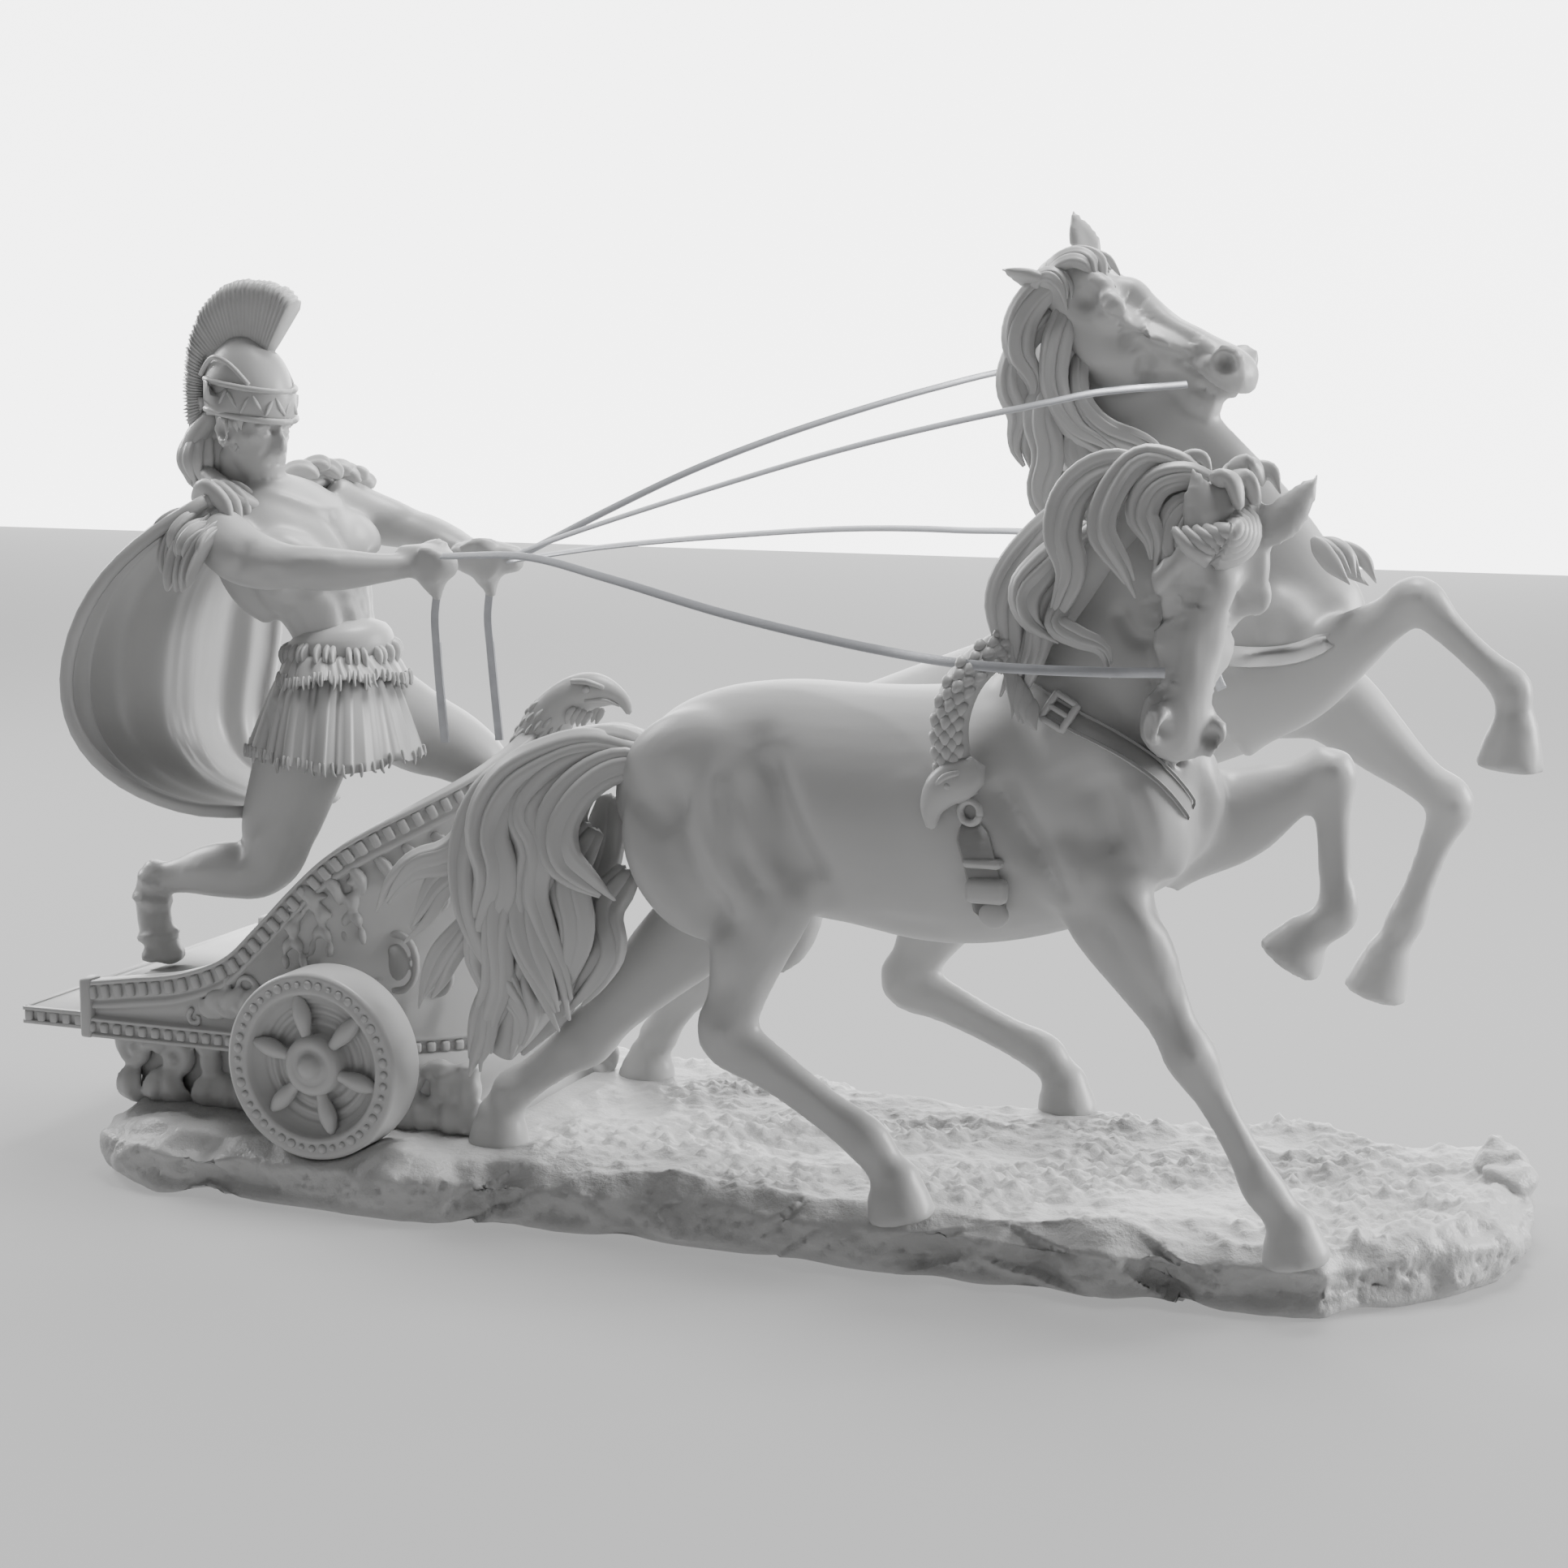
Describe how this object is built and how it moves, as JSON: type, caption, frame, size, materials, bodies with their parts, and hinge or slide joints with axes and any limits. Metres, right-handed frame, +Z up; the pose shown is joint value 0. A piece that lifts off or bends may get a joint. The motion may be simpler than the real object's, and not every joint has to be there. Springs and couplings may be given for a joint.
{
  "type": "chariot statue",
  "caption": "Cast marble statue of a racing chariot with its cloaked, helmeted driver, galloping horses and thin metal reins on a rocky ground.",
  "frame": {"origin": "on the flat underside of the rocky ground, below the middle of the group", "axes": "+X forwards, the way the horses run; +Y to the rearing horse's side; +Z up"},
  "size_m": [0.4387, 0.1592, 0.2797],
  "materials": {
    "marble": "white cast marble, satin polish, slightly translucent where thin",
    "rein_strip": "thin bare metal strip, satin grey"
  },
  "bodies": {
    "root": {"base": "marble", "chariot": "marble", "wheel_near": "marble", "wheel_far": "marble", "charioteer": "marble", "horse_near": "marble", "horse_far": "marble", "rein_far_horse_far_side": "rein_strip", "rein_far_horse_near_side": "rein_strip", "rein_near_horse_far_side": "rein_strip", "rein_near_horse_near_side": "rein_strip", "rein_end_near_hand": "rein_strip", "rein_end_far_hand": "rein_strip"}
  },
  "joints": []
}
